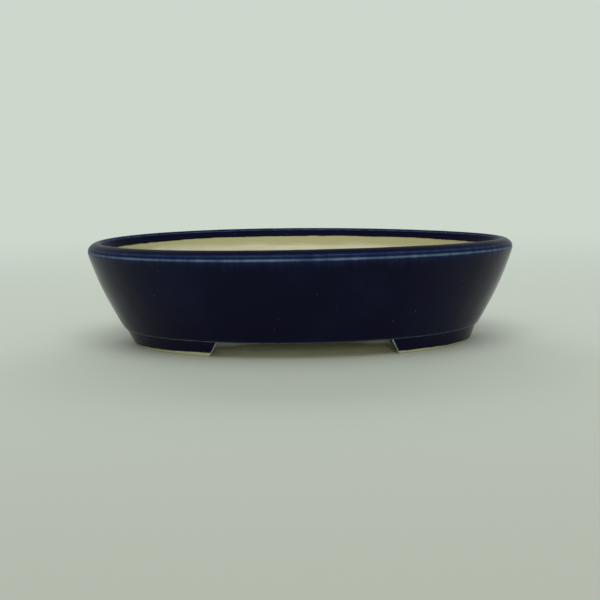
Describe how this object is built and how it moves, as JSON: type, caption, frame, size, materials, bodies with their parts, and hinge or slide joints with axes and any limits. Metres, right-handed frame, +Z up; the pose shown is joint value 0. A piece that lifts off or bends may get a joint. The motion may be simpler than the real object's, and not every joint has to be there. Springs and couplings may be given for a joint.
{
  "type": "bonsai pot",
  "caption": "Shallow oval bonsai pot with a flared wall, bevelled lip and curved end feet, dark blue glaze outside and over the lip, bare clay inside.",
  "frame": {"origin": "centre of the pot, on the surface that the feet stand on", "axes": "+X along the pot's length, +Y across it from front to back, +Z up out of the mouth"},
  "size_m": [0.216, 0.168, 0.0517],
  "materials": {
    "clay": "unglazed matt cream stoneware",
    "glaze": "glossy dark cobalt blue glaze"
  },
  "bodies": {
    "root": {"floor_slab": "clay", "wall_band": "clay", "lip_band": "clay", "foot_left": "clay", "foot_right": "clay", "glaze_wall": "glaze", "glaze_lip": "glaze", "glaze_foot_left": "glaze", "glaze_foot_right": "glaze"}
  },
  "joints": []
}
